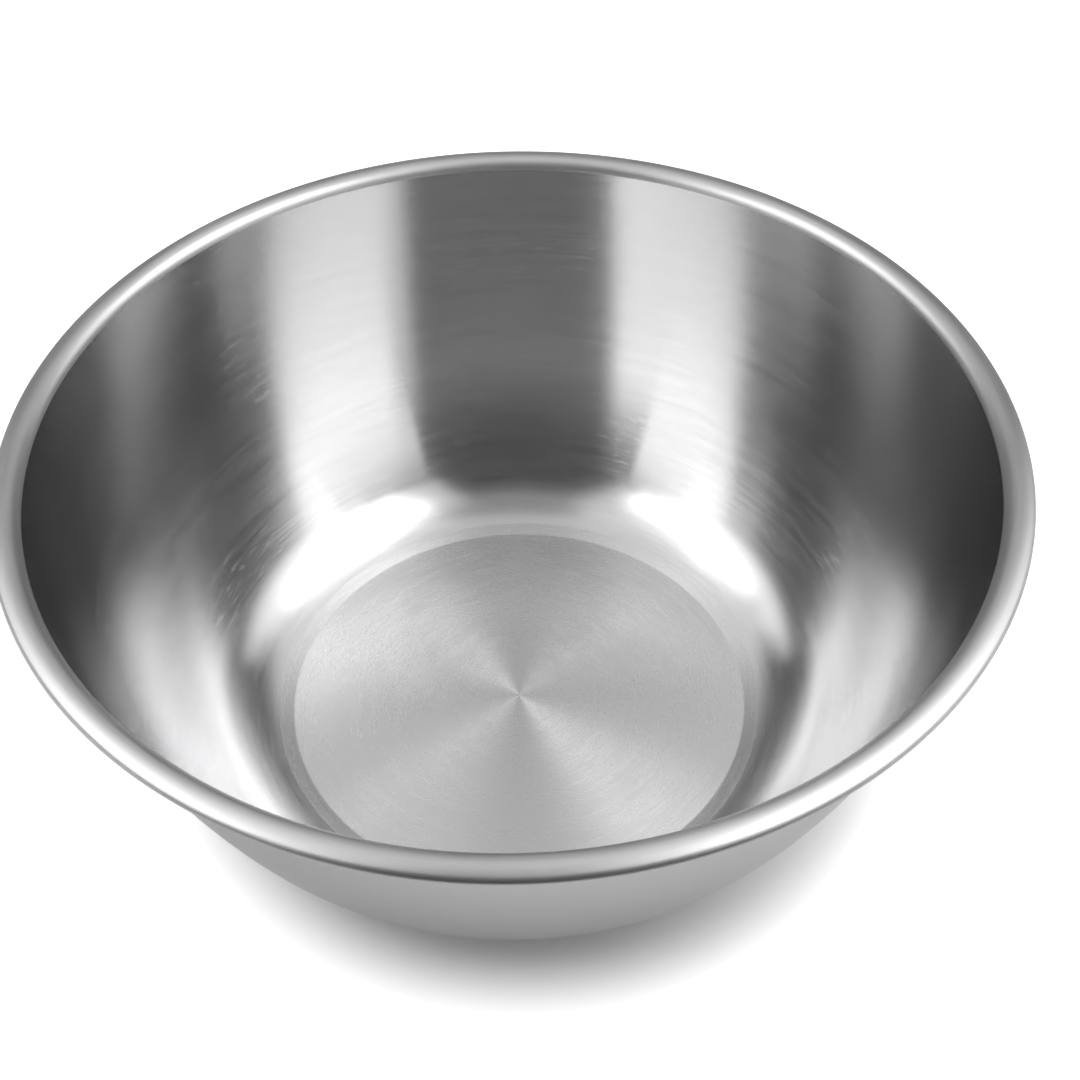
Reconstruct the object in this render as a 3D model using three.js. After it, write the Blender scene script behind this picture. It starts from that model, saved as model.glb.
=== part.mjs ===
// A stainless steel mixing bowl, drawn from one sheet: a flat base with a shallow step pressed round it,
// a knuckle bend, a wall that steepens on its way up, and a rim that is rolled over and hemmed under itself.
// Millimetres, +Z up. The origin is the centre of the face that the bowl stands on.

import * as THREE from 'three';

// Driving dimensions
const RIM_DIAMETER = 265;       // across the outermost edge of the rolled rim
const HEIGHT = 104;             // from the standing face to the crest of the rim
const SHEET = 0.6;              // thickness of the steel, the same all over
const FLOOR_DIAMETER = 133;     // the flat floor, up to the crease of the step
const CREASE_RADIUS = 3;        // bend from the floor into the step
const STEP_SLOPE = 12;          // degrees that the step climbs at
const STEP_RUN = 3.9;           // width of the step, measured along its slope
const KNUCKLE_RADIUS = 31;      // bend between the step and the wall, on the inside
const KNUCKLE_SLOPE = 50;       // degrees that the sheet climbs at where the knuckle ends
const FLANK_RADIUS = 125;       // wider bend that the wall begins with
const FLANK_SLOPE = 66;         // degrees that the wall climbs at where that bend ends
const SHOULDER_RADIUS = 3.2;    // top of the wall turning outward
const CROWN_RADIUS = 6.8;       // domed top of the rim
const CROWN_RISE = 15;          // degrees that the crown still climbs at where the shoulder ends
const CROWN_FALL = 25;          // degrees that the crown falls at where the outer roll begins
const ROLL_RADIUS = 1.5;        // outer edge of the rim, rolled under
const HEM_RISE = 10;            // degrees that the hem climbs at on its way back to the wall
const HEM_GAP = 0.5;            // slit left between the hem's cut edge and the wall

// Fineness of the facets
const SIDES = 80;               // facets round the bowl
const CHORD_ERROR = 0.05;       // furthest that a bend's facets lie from its true arc

const radians = THREE.MathUtils.degToRad;
const along = (heading) => new THREE.Vector2(Math.cos(heading), Math.sin(heading));
const rightOf = (heading) => new THREE.Vector2(Math.sin(heading), -Math.cos(heading));

// The sheet's section, followed outward from the middle of the floor on the skin that faces into the bowl.
// A station is a point on that skin, with the point straight across the sheet on its other skin.
class SheetPath {
  constructor(radius, height) {
    this.point = new THREE.Vector2(radius, height);
    this.heading = 0;
  }

  station() {
    const across = rightOf(this.heading).multiplyScalar(SHEET);
    return { skin: this.point.clone(), back: this.point.clone().add(across) };
  }

  run(length) {
    this.point.addScaledVector(along(this.heading), length);
    return [this.station()];
  }

  // A positive turn bends the sheet up and inward, and a negative one bends it over and outward.
  bend(radius, turn) {
    const steps = Math.ceil(Math.abs(turn) / (2 * Math.acos(1 - CHORD_ERROR / radius)));
    const centre = this.bendCentre(radius * Math.sign(turn));
    const start = this.heading;
    const stations = [];
    for (let step = 1; step <= steps; step += 1) {
      this.heading = start + turn * step / steps;
      this.point = centre.clone().addScaledVector(rightOf(this.heading), radius * Math.sign(turn));
      stations.push(this.station());
    }
    return stations;
  }

  bendCentre(signedRadius) {
    return this.point.clone().addScaledVector(rightOf(this.heading), -signedRadius);
  }
}

// The shoulder bend's centre, set so that the crown's crest and the roll's outer edge meet the overall sizes.
function shoulderCentre() {
  const reach = (CROWN_RADIUS - SHOULDER_RADIUS) * Math.sin(radians(CROWN_RISE))
    + (CROWN_RADIUS - ROLL_RADIUS) * Math.sin(radians(CROWN_FALL)) + ROLL_RADIUS;
  const rise = CROWN_RADIUS - (CROWN_RADIUS - SHOULDER_RADIUS) * Math.cos(radians(CROWN_RISE));
  return new THREE.Vector2(RIM_DIAMETER / 2 - reach, HEIGHT - rise);
}

// The upper wall is the one arc that carries on from the path's end and touches the shoulder bend.
function upperWall(path, shoulder) {
  const span = path.point.clone().sub(shoulder);
  const clear = SHOULDER_RADIUS + rightOf(path.heading).dot(span);
  const signedRadius = (span.lengthSq() - SHOULDER_RADIUS * SHOULDER_RADIUS) / (2 * clear);
  const spoke = shoulder.clone().sub(path.bendCentre(signedRadius)).multiplyScalar(Math.sign(signedRadius));
  return { radius: Math.abs(signedRadius), turn: Math.atan2(spoke.x, -spoke.y) - path.heading };
}

// Length of the hem that leaves its gap to the back of the wall.
function hemLength(path, wallTop, wallHeading) {
  const clear = path.point.clone().sub(wallTop.back).dot(rightOf(wallHeading));
  const approach = -along(path.heading).dot(rightOf(wallHeading));
  return (clear - HEM_GAP) / approach;
}

// The four stretches of the sheet, each a list of stations that starts where the one before it ends.
function sheetStretches() {
  const path = new SheetPath(0, SHEET);

  const base = [path.station(), ...path.run(FLOOR_DIAMETER / 2)];
  base.push(...path.bend(CREASE_RADIUS, radians(STEP_SLOPE)), ...path.run(STEP_RUN));

  const knuckle = [path.station(), ...path.bend(KNUCKLE_RADIUS, radians(KNUCKLE_SLOPE - STEP_SLOPE))];

  const side = [path.station(), ...path.bend(FLANK_RADIUS, radians(FLANK_SLOPE - KNUCKLE_SLOPE))];
  const upper = upperWall(path, shoulderCentre());
  side.push(...path.bend(upper.radius, upper.turn));

  const wallTop = path.station();
  const wallHeading = path.heading;
  const rim = [wallTop, ...path.bend(SHOULDER_RADIUS, radians(CROWN_RISE) - wallHeading)];
  rim.push(...path.bend(CROWN_RADIUS, -radians(CROWN_RISE + CROWN_FALL)));
  rim.push(...path.bend(ROLL_RADIUS, -radians(180 - CROWN_FALL + HEM_RISE)));
  rim.push(...path.run(hemLength(path, wallTop, wallHeading)));

  return { base, knuckle, side, rim };
}

// A stretch turned about the bowl's axis. Its outline goes out along one skin and back along the other,
// and closes on itself unless it starts and ends on the axis.
function turned(stations) {
  const outline = stations.map((station) => station.back);
  outline.push(...stations.map((station) => station.skin).reverse());
  if (outline[0].x > 0) outline.push(outline[0].clone());
  return new THREE.LatheGeometry(outline, SIDES).rotateX(Math.PI / 2);
}

function sheetMesh(name, stations, material) {
  const mesh = new THREE.Mesh(turned(stations), material);
  mesh.name = name;
  return mesh;
}

const satinSteel = new THREE.MeshStandardMaterial({ color: 0xb9babc, roughness: 0.34, metalness: 1 });
const turnedSteel = new THREE.MeshStandardMaterial({ color: 0xbdbebf, roughness: 0.38, metalness: 1 });
const polishedSteel = new THREE.MeshStandardMaterial({ color: 0xc9cacb, roughness: 0.2, metalness: 1 });

const stretches = sheetStretches();
const bowl = new THREE.Group();
bowl.name = 'mixing_bowl';
bowl.add(sheetMesh('flat_base', stretches.base, turnedSteel));
bowl.add(sheetMesh('knuckle', stretches.knuckle, satinSteel));
bowl.add(sheetMesh('side_wall', stretches.side, satinSteel));
bowl.add(sheetMesh('rolled_rim', stretches.rim, polishedSteel));

export default bowl;
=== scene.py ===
"""A stainless steel mixing bowl on a white table, dressed for a studio picture."""
import math

import bpy
from mathutils import Matrix, Vector


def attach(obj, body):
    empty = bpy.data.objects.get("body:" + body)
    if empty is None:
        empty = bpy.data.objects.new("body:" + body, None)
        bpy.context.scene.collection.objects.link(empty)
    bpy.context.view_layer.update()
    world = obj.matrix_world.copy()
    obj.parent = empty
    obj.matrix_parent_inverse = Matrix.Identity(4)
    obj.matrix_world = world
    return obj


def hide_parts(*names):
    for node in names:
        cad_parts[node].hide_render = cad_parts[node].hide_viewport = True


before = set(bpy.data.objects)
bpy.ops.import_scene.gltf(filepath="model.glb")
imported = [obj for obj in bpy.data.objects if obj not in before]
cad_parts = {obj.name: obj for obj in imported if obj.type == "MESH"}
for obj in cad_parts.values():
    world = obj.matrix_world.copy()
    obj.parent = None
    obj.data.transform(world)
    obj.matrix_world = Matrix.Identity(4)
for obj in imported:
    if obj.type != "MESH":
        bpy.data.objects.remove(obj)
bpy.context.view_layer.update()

# Sizes of the bowl, in metres and degrees, the same as in the solids
MM = 0.001
RIM_RADIUS = 132.5 * MM
HEIGHT = 104 * MM
SHEET = 0.6 * MM
FLOOR_RADIUS = 66.5 * MM
CREASE_RADIUS = 3 * MM
STEP_SLOPE = 12
STEP_RUN = 3.9 * MM
KNUCKLE_RADIUS = 31 * MM
KNUCKLE_SLOPE = 50
FLANK_RADIUS = 125 * MM
FLANK_SLOPE = 66
SHOULDER_RADIUS = 3.2 * MM
CROWN_RADIUS = 6.8 * MM
CROWN_RISE = 15
CROWN_FALL = 25
ROLL_RADIUS = 1.5 * MM
HEM_RISE = 10
HEM_GAP = 0.5 * MM

# Fineness of the mesh
ROUND_STEPS = 256
MERGE_GAP = 0.005 * MM
SMOOTH_ANGLE = 40

# Camera, at the photograph's viewing angle
SENSOR_MM = 36
LENS_MM = 59.96
CAMERA_DISTANCE = 465.1 * MM
CAMERA_RISE = 43.08
AIM_HEIGHT = 101.4 * MM
CAMERA_YAW = -0.80
CAMERA_PITCH = -2.95
CAMERA_ROLL = 1.49

# Brushing of the steel, and the heights between which the stretched bend gives way to the wall
BRUSH_RELIEF = 0.23
BRUSH_DEPTH = 0.02 * MM
QUARTER_TURN = 0.25
NOISE_ROUGHNESS = 0.6
NOISE_MIDDLE = 0.5
NEAR_NOTHING = 1e-9
TONE_SPREAD = 0.06
COOLNESS = 0.005
STRETCHED_BELOW = 5 * MM
PLAIN_ABOVE = 17 * MM

# Brightness of the studio's boards and air, where 1 is white
AIR_BRIGHTNESS = 1.0
LEFT_SOFTBOX = 1.74
LEFT_STRIP = 3.85
LEFT_FILL = 1.56
RIGHT_SOFTBOX = 1.70
RIGHT_STRIP = 4.60
RIGHT_FILL = 1.30
BLACK_FLAG = 0.03
FRONT_FLAG = 0.08
BACK_FLAG = 0.10
TOP_FLAG = 0.24

# Places and sizes in the studio
STUDIO_RADIUS = 2.0
BOARD_STEPS_UP = 8
BOARD_STEPS_ROUND = 24
CLOTH_MIDDLE = (0, -1.0, 0.001)
CLOTH_SIDE = 1.6
CLOTH_BLACK = 0.03

# Table, and the painted glow on its top that sets the outer edge of the bowl's shadow
TABLE_RADIUS = 6
TABLE_DROP = 0.1 * MM
PAPER_WHITE = 0.85
TABLE_PAINTED_GLOW = 0.75
# The painted glow is faint within a ring round the bowl, set off to the right and back, and rises to white
# further out
SHADOW_MIDDLE = (5 * MM, 4.5 * MM, 0)
SHADOW_INNER = 90 * MM
SHADOW_OUTER = 119 * MM
PAINTED_GLOW_IN_SHADOW = 0.06
# The steel sees the painted glow only far away, so it mirrors the table near the bowl darker than the camera
# sees it
MIRROR_INNER = 700 * MM
MIRROR_OUTER = 1500 * MM


def place_camera():
    """Aims at the rim's middle, then turns the camera a little for the photograph's framing."""
    rise = math.radians(CAMERA_RISE)
    forward = Vector((0, math.cos(rise), -math.sin(rise)))
    right = Vector((1, 0, 0))
    up = right.cross(forward)
    place = Vector((0, 0, AIM_HEIGHT)) - forward * CAMERA_DISTANCE
    yaw = Matrix.Rotation(math.radians(CAMERA_YAW), 3, up)
    forward, right = yaw @ forward, yaw @ right
    pitch = Matrix.Rotation(math.radians(CAMERA_PITCH), 3, right)
    forward = pitch @ forward
    roll = Matrix.Rotation(math.radians(CAMERA_ROLL), 3, forward)
    right = roll @ right
    up = right.cross(forward)
    data = bpy.data.cameras.new("studio_camera")
    data.sensor_width = SENSOR_MM
    data.lens = LENS_MM
    camera = bpy.data.objects.new("studio_camera", data)
    bpy.context.scene.collection.objects.link(camera)
    camera.matrix_world = Matrix.Translation(place) @ Matrix((right, up, -forward)).transposed().to_4x4()
    bpy.context.scene.camera = camera


# Section of the sheet, drawn by extruding and spinning one vertex

def start_vertex(place):
    """A new object in edit mode, merged down to one vertex."""
    bpy.ops.object.select_all(action="DESELECT")
    bpy.ops.mesh.primitive_plane_add(size=MM)
    started = bpy.context.object
    bpy.ops.object.mode_set(mode="EDIT")
    bpy.ops.mesh.select_mode(type="VERT")
    bpy.ops.mesh.merge(type="CENTER")
    bpy.ops.transform.translate(value=place)
    return started


def along(heading):
    return Vector((math.cos(heading), 0, math.sin(heading)))


def left_of(heading):
    return Vector((-math.sin(heading), 0, math.cos(heading)))


class SheetSection:
    """Follows the skin that faces into the bowl, outward from the middle of the floor."""

    def __init__(self):
        self.point = Vector((0, 0, SHEET))
        self.heading = 0.0

    def begin(self, name):
        self.piece = start_vertex(self.point)
        self.piece.name = name

    def run(self, length, steps):
        for _ in range(steps):
            move = along(self.heading) * (length / steps)
            bpy.ops.mesh.extrude_region_move(TRANSFORM_OT_translate={"value": move})
            self.point = self.point + move

    def bend(self, radius, turn, steps):
        """A positive turn bends the sheet up and inward, and a negative one bends it over and outward."""
        side = math.copysign(radius, turn)
        centre = self.point + left_of(self.heading) * side
        bpy.ops.mesh.spin(steps=steps, angle=turn, center=centre, axis=(0, 1, 0))
        self.heading += turn
        self.point = centre - left_of(self.heading) * side

    def turn_round(self):
        """Spins the section about the bowl's axis, gives it the sheet's thickness and smooths it."""
        bpy.ops.mesh.select_all(action="SELECT")
        bpy.ops.mesh.spin(steps=ROUND_STEPS, angle=math.tau, center=(0, 0, 0), axis=(0, 0, 1))
        bpy.ops.mesh.select_all(action="SELECT")
        bpy.ops.mesh.remove_doubles(threshold=MERGE_GAP)
        bpy.ops.mesh.normals_make_consistent(inside=False)
        bpy.ops.object.mode_set(mode="OBJECT")
        innermost = min(self.piece.data.polygons, key=lambda face: face.center.xy.length)
        if innermost.normal.dot(Vector((0, 0, HEIGHT)) - innermost.center) < 0:
            bpy.ops.object.mode_set(mode="EDIT")
            bpy.ops.mesh.flip_normals()
            bpy.ops.object.mode_set(mode="OBJECT")
        sheet = self.piece.modifiers.new("sheet", "SOLIDIFY")
        sheet.thickness = SHEET
        sheet.offset = -1
        sheet.use_even_offset = True
        bpy.ops.object.modifier_apply(modifier=sheet.name)
        bpy.ops.object.shade_smooth_by_angle(angle=math.radians(SMOOTH_ANGLE))
        return self.piece


def shoulder_centre():
    """The shoulder bend's centre, set so that the rim's crest and outer edge meet the overall sizes."""
    rise, fall = math.radians(CROWN_RISE), math.radians(CROWN_FALL)
    reach = (CROWN_RADIUS - SHOULDER_RADIUS) * math.sin(rise)
    reach += (CROWN_RADIUS - ROLL_RADIUS) * math.sin(fall) + ROLL_RADIUS
    crest = CROWN_RADIUS - (CROWN_RADIUS - SHOULDER_RADIUS) * math.cos(rise)
    return Vector((RIM_RADIUS - reach, 0, HEIGHT - crest))


def upper_wall(section):
    """Radius and turn of the arc that carries on from the flank and touches the shoulder bend."""
    shoulder = shoulder_centre()
    span = section.point - shoulder
    inward = left_of(section.heading)
    radius = (span.length_squared - SHOULDER_RADIUS ** 2) / (2 * (SHOULDER_RADIUS - inward.dot(span)))
    spoke = shoulder - (section.point + inward * radius)
    return radius, math.atan2(spoke.x, -spoke.z) - section.heading


def hem_length(section, wall_back, wall_heading):
    """Length of the hem that leaves its gap to the back of the wall."""
    outward = -left_of(wall_heading)
    clear = (section.point - wall_back).dot(outward)
    return (clear - HEM_GAP) / -along(section.heading).dot(outward)


def press_bowl():
    """The bowl's three pieces: its floor, its drawn body and its rolled edge."""
    section = SheetSection()

    section.begin("base_floor")
    section.run(FLOOR_RADIUS, steps=8)
    section.bend(CREASE_RADIUS, math.radians(STEP_SLOPE), steps=8)
    section.run(STEP_RUN, steps=2)
    floor = section.turn_round()

    section.begin("drawn_body")
    section.bend(KNUCKLE_RADIUS, math.radians(KNUCKLE_SLOPE - STEP_SLOPE), steps=28)
    section.bend(FLANK_RADIUS, math.radians(FLANK_SLOPE - KNUCKLE_SLOPE), steps=20)
    radius, turn = upper_wall(section)
    section.bend(radius, turn, steps=28)
    wall_heading = section.heading
    wall_back = section.point - left_of(wall_heading) * SHEET
    body = section.turn_round()

    section.begin("rolled_edge")
    section.bend(SHOULDER_RADIUS, math.radians(CROWN_RISE) - wall_heading, steps=20)
    section.bend(CROWN_RADIUS, -math.radians(CROWN_RISE + CROWN_FALL), steps=16)
    section.bend(ROLL_RADIUS, -math.radians(180 - CROWN_FALL + HEM_RISE), steps=32)
    section.run(hem_length(section, wall_back, wall_heading), steps=3)
    edge = section.turn_round()

    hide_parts("flat_base")
    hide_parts("knuckle", "side_wall")
    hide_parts("rolled_rim")
    for piece in (floor, body, edge):
        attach(piece, "root")
    return floor, body, edge


# Finishes

class Shade:
    """A socket in a node tree. Python's operators on it add the Math nodes."""

    def __init__(self, tree, socket=None):
        self.tree = tree
        self.socket = socket

    def node(self, kind, settings=None, values=None, output=0):
        made = self.tree.nodes.new(kind)
        for name, setting in (settings or {}).items():
            setattr(made, name, setting)
        for name, value in (values or {}).items():
            if isinstance(value, Shade):
                self.tree.links.new(value.socket, made.inputs[name])
            else:
                made.inputs[name].default_value = value
        return Shade(self.tree, made.outputs[output] if made.outputs else None)

    def math(self, operation, first, second):
        return self.node("ShaderNodeMath", {"operation": operation}, {0: first, 1: second})

    def __add__(self, other):
        return self.math("ADD", self, other)

    def __radd__(self, other):
        return self.math("ADD", other, self)

    def __sub__(self, other):
        return self.math("SUBTRACT", self, other)

    def __rsub__(self, other):
        return self.math("SUBTRACT", other, self)

    def __mul__(self, other):
        return self.math("MULTIPLY", self, other)

    def __rmul__(self, other):
        return self.math("MULTIPLY", other, self)

    def __truediv__(self, other):
        return self.math("DIVIDE", self, other)

    def __rtruediv__(self, other):
        return self.math("DIVIDE", other, self)

    def __pow__(self, other):
        return self.math("POWER", self, other)

    def smooth_rise(self, start, full, least=0.0):
        """From least where this value is at start, smoothly up to 1 where it is at full."""
        return self.node("ShaderNodeMapRange", {"interpolation_type": "SMOOTHSTEP"},
                         {"Value": self, "From Min": start, "From Max": full, "To Min": least})


def new_finish(name):
    finish = bpy.data.materials.new(name)
    finish.use_nodes = True
    finish.node_tree.nodes.clear()
    return finish, Shade(finish.node_tree)


def put_out(shade, surface):
    shade.node("ShaderNodeOutputMaterial", values={"Surface": surface})


def grey(value, coolness=0.0):
    return (value, value, value + coolness, 1)


def brushed_steel(name, tone, roughness, anisotropy, grain, marks, stretch):
    """Steel brushed in circles about the bowl's axis.

    The tone is its reflectance, and the grain is how far the brushing varies its roughness. The marks are
    where the brush bit deeper, up the wall, and the stretch is what pressing added to the roughness low down.
    """
    finish, shade = new_finish(name)
    place = shade.node("ShaderNodeTexCoord", output="Object")
    x = shade.node("ShaderNodeSeparateXYZ", values={0: place}, output="X")
    y = shade.node("ShaderNodeSeparateXYZ", values={0: place}, output="Y")
    z = shade.node("ShaderNodeSeparateXYZ", values={0: place}, output="Z")
    radius = (x * x + y * y + NEAR_NOTHING) ** 0.5

    def noise(spot, scale, detail):
        values = {"Vector": spot, "Scale": scale, "Detail": detail, "Roughness": NOISE_ROUGHNESS}
        return shade.node("ShaderNodeTexNoise", values=values, output="Fac")

    def strokes(around, per_metre, detail):
        values = {"X": x / radius * around, "Y": y / radius * around, "Z": (radius + z) * per_metre}
        return noise(shade.node("ShaderNodeCombineXYZ", values=values), 1.0, detail)

    fine = strokes(around=6.0, per_metre=1500.0, detail=2.0) - NOISE_MIDDLE
    broad = strokes(around=2.5, per_metre=300.0, detail=3.0) - NOISE_MIDDLE
    cloud = noise(place, scale=28.0, detail=4.0) - NOISE_MIDDLE
    worn = noise(place, scale=22.0, detail=2.0).smooth_rise(start=0.44, full=0.60)
    high_up = z.smooth_rise(start=STRETCHED_BELOW, full=PLAIN_ABOVE)
    deep = strokes(around=16.0, per_metre=850.0, detail=1.0).smooth_rise(start=0.58, full=0.72)
    bitten = deep * worn * high_up * marks
    stretched = (1 - high_up) * stretch

    rough = (fine + broad + cloud) * grain + bitten * 0.05 + stretched + roughness
    height = fine + broad * 0.6 - bitten
    relief = shade.node("ShaderNodeBump", output="Normal",
                        values={"Strength": BRUSH_RELIEF, "Distance": BRUSH_DEPTH, "Height": height})
    shine = fine + broad + cloud * 0.8 + bitten * 0.4 + NOISE_MIDDLE
    dark = grey(tone * (1 - TONE_SPREAD), tone * COOLNESS)
    light = grey(tone * (1 + TONE_SPREAD), tone * COOLNESS)
    tint = shade.node("ShaderNodeMix", {"data_type": "RGBA"}, output="Result",
                      values={"Factor": shine, "A": dark, "B": light})
    steel = shade.node("ShaderNodeBsdfPrincipled",
                       values={"Base Color": tint, "Metallic": 1.0, "Roughness": rough, "Normal": relief,
                               "Anisotropic": anisotropy, "Anisotropic Rotation": QUARTER_TURN})
    put_out(shade, steel)
    return finish


# Table, lamps and flags

def lay_table():
    """White paper with a painted glow: faint near the bowl, so the bowl's cast shadow stays close by, and
    lifting to white away from it.
    """
    bpy.ops.object.select_all(action="DESELECT")
    bpy.ops.mesh.primitive_circle_add(vertices=64, radius=TABLE_RADIUS, fill_type="NGON",
                                      location=(0, 0, -TABLE_DROP))
    table = bpy.context.object
    table.name = "white_table"
    finish, shade = new_finish("table_paper_and_painted_glow")
    place = shade.node("ShaderNodeTexCoord", output="Object")
    away = shade.node("ShaderNodeVectorMath", {"operation": "DISTANCE"},
                      values={0: place, 1: SHADOW_MIDDLE}, output="Value")
    seen = shade.node("ShaderNodeLightPath", output="Is Camera Ray")
    mirrored = shade.node("ShaderNodeLightPath", output="Is Glossy Ray")
    through = shade.node("ShaderNodeLightPath", output="Is Transmission Ray")
    # Painted glow seen by the camera: faint inside the ring, so the ring sets the shadow's outer edge and
    # lean
    white = seen * away.smooth_rise(SHADOW_INNER, SHADOW_OUTER, PAINTED_GLOW_IN_SHADOW)
    # Painted glow seen in reflections only far away, so the steel mirrors the table near the bowl darker than
    # the camera sees it
    white = white + (mirrored + through) * away.smooth_rise(MIRROR_INNER, MIRROR_OUTER)
    # The paper glows by this painted emission, though it is no lamp
    painted_glow = shade.node("ShaderNodeEmission", values={"Strength": white * TABLE_PAINTED_GLOW})
    paper = shade.node("ShaderNodeBsdfDiffuse", values={"Color": grey(PAPER_WHITE)})
    put_out(shade, shade.node("ShaderNodeAddShader", values={0: paper, 1: painted_glow}))
    table.data.materials.append(finish)


def lay_cloth():
    """A black cloth in front that only the steel mirrors. The table stays white, seen from every side."""
    bpy.ops.object.select_all(action="DESELECT")
    bpy.ops.mesh.primitive_plane_add(size=CLOTH_SIDE, location=CLOTH_MIDDLE)
    cloth = bpy.context.object
    cloth.name = "front_cloth"
    finish, shade = new_finish("front_cloth_weave")
    put_out(shade, shade.node("ShaderNodeBsdfDiffuse", values={"Color": grey(CLOTH_BLACK)}))
    cloth.data.materials.append(finish)
    cloth.visible_camera = False
    cloth.visible_diffuse = False
    cloth.visible_shadow = False


def screen(name, left, right, low, high, brightness):
    """A curved screen round the bowl. Azimuth 0 is the camera's side and 90 is the right, in degrees."""
    left, low = math.radians(left), math.radians(low)
    across, up = math.radians(right) - left, math.radians(high) - low
    corner = Vector((math.sin(left) * math.cos(low), -math.cos(left) * math.cos(low), math.sin(low)))
    board = start_vertex(corner * STUDIO_RADIUS)
    board.name = name
    upward = (math.cos(left), math.sin(left), 0)
    bpy.ops.mesh.spin(steps=BOARD_STEPS_UP, angle=up, center=(0, 0, 0), axis=upward)
    bpy.ops.mesh.select_all(action="SELECT")
    bpy.ops.mesh.spin(steps=BOARD_STEPS_ROUND, angle=across, center=(0, 0, 0), axis=(0, 0, -1))
    bpy.ops.object.mode_set(mode="OBJECT")
    finish, shade = new_finish(name + "_cloth")
    put_out(shade, shade.node("ShaderNodeEmission", values={"Strength": brightness}))
    board.data.materials.append(finish)
    board.visible_camera = False


def light_studio():
    world = bpy.data.worlds.new("studio_air")
    world.use_nodes = True
    air = world.node_tree.nodes["Background"]
    air.inputs["Color"].default_value = grey(1)
    air.inputs["Strength"].default_value = AIR_BRIGHTNESS
    bpy.context.scene.world = world
    screen("left_softbox_low", left=-134, right=-65, low=24, high=38, brightness=LEFT_SOFTBOX)
    screen("left_softbox_high", left=-131, right=-59, low=38, high=44, brightness=LEFT_SOFTBOX)
    screen("left_strip", left=-119, right=-54, low=44, high=61, brightness=LEFT_STRIP)
    screen("left_fill", left=-65, right=-43, low=18, high=33, brightness=LEFT_FILL)
    screen("left_flag_low", left=-65, right=-43, low=33, high=38, brightness=BLACK_FLAG)
    screen("left_flag_high", left=-59, right=-43, low=38, high=44, brightness=BLACK_FLAG)
    screen("left_skirt", left=-134, right=-65, low=0, high=24, brightness=BLACK_FLAG)
    screen("left_foot", left=-65, right=-43, low=0, high=18, brightness=BLACK_FLAG)
    screen("right_softbox_low", left=66, right=131, low=21, high=38, brightness=RIGHT_SOFTBOX)
    screen("right_softbox_high", left=60, right=127, low=38, high=48, brightness=RIGHT_SOFTBOX)
    screen("right_strip", left=52, right=124, low=48, high=72, brightness=RIGHT_STRIP)
    screen("right_fill", left=31, right=66, low=18, high=33, brightness=RIGHT_FILL)
    screen("right_flag_low", left=31, right=66, low=33, high=38, brightness=BLACK_FLAG)
    screen("right_flag_high", left=31, right=60, low=38, high=45, brightness=BLACK_FLAG)
    screen("right_skirt", left=66, right=131, low=0, high=21, brightness=BLACK_FLAG)
    screen("right_foot", left=31, right=66, low=0, high=18, brightness=BLACK_FLAG)
    screen("front_flag", left=-43, right=31, low=0, high=75, brightness=FRONT_FLAG)
    screen("back_flag", left=131, right=226, low=0, high=48, brightness=BACK_FLAG)
    screen("top_flag", left=0, right=360, low=80, high=89, brightness=TOP_FLAG)
    lay_cloth()
    lay_table()


place_camera()
floor, body, edge = press_bowl()
floor.data.materials.append(brushed_steel(
    "turned_floor_steel", tone=0.62, roughness=0.27, anisotropy=0.95, grain=0.05, marks=0.0, stretch=0.0))
body.data.materials.append(brushed_steel(
    "satin_wall_steel", tone=0.61, roughness=0.17, anisotropy=0.95, grain=0.05, marks=1.0, stretch=0.05))
edge.data.materials.append(brushed_steel(
    "burnished_edge_steel", tone=0.62, roughness=0.42, anisotropy=0.60, grain=0.08, marks=0.6, stretch=0.0))
light_studio()

bpy.context.scene.view_settings.view_transform = "Standard"
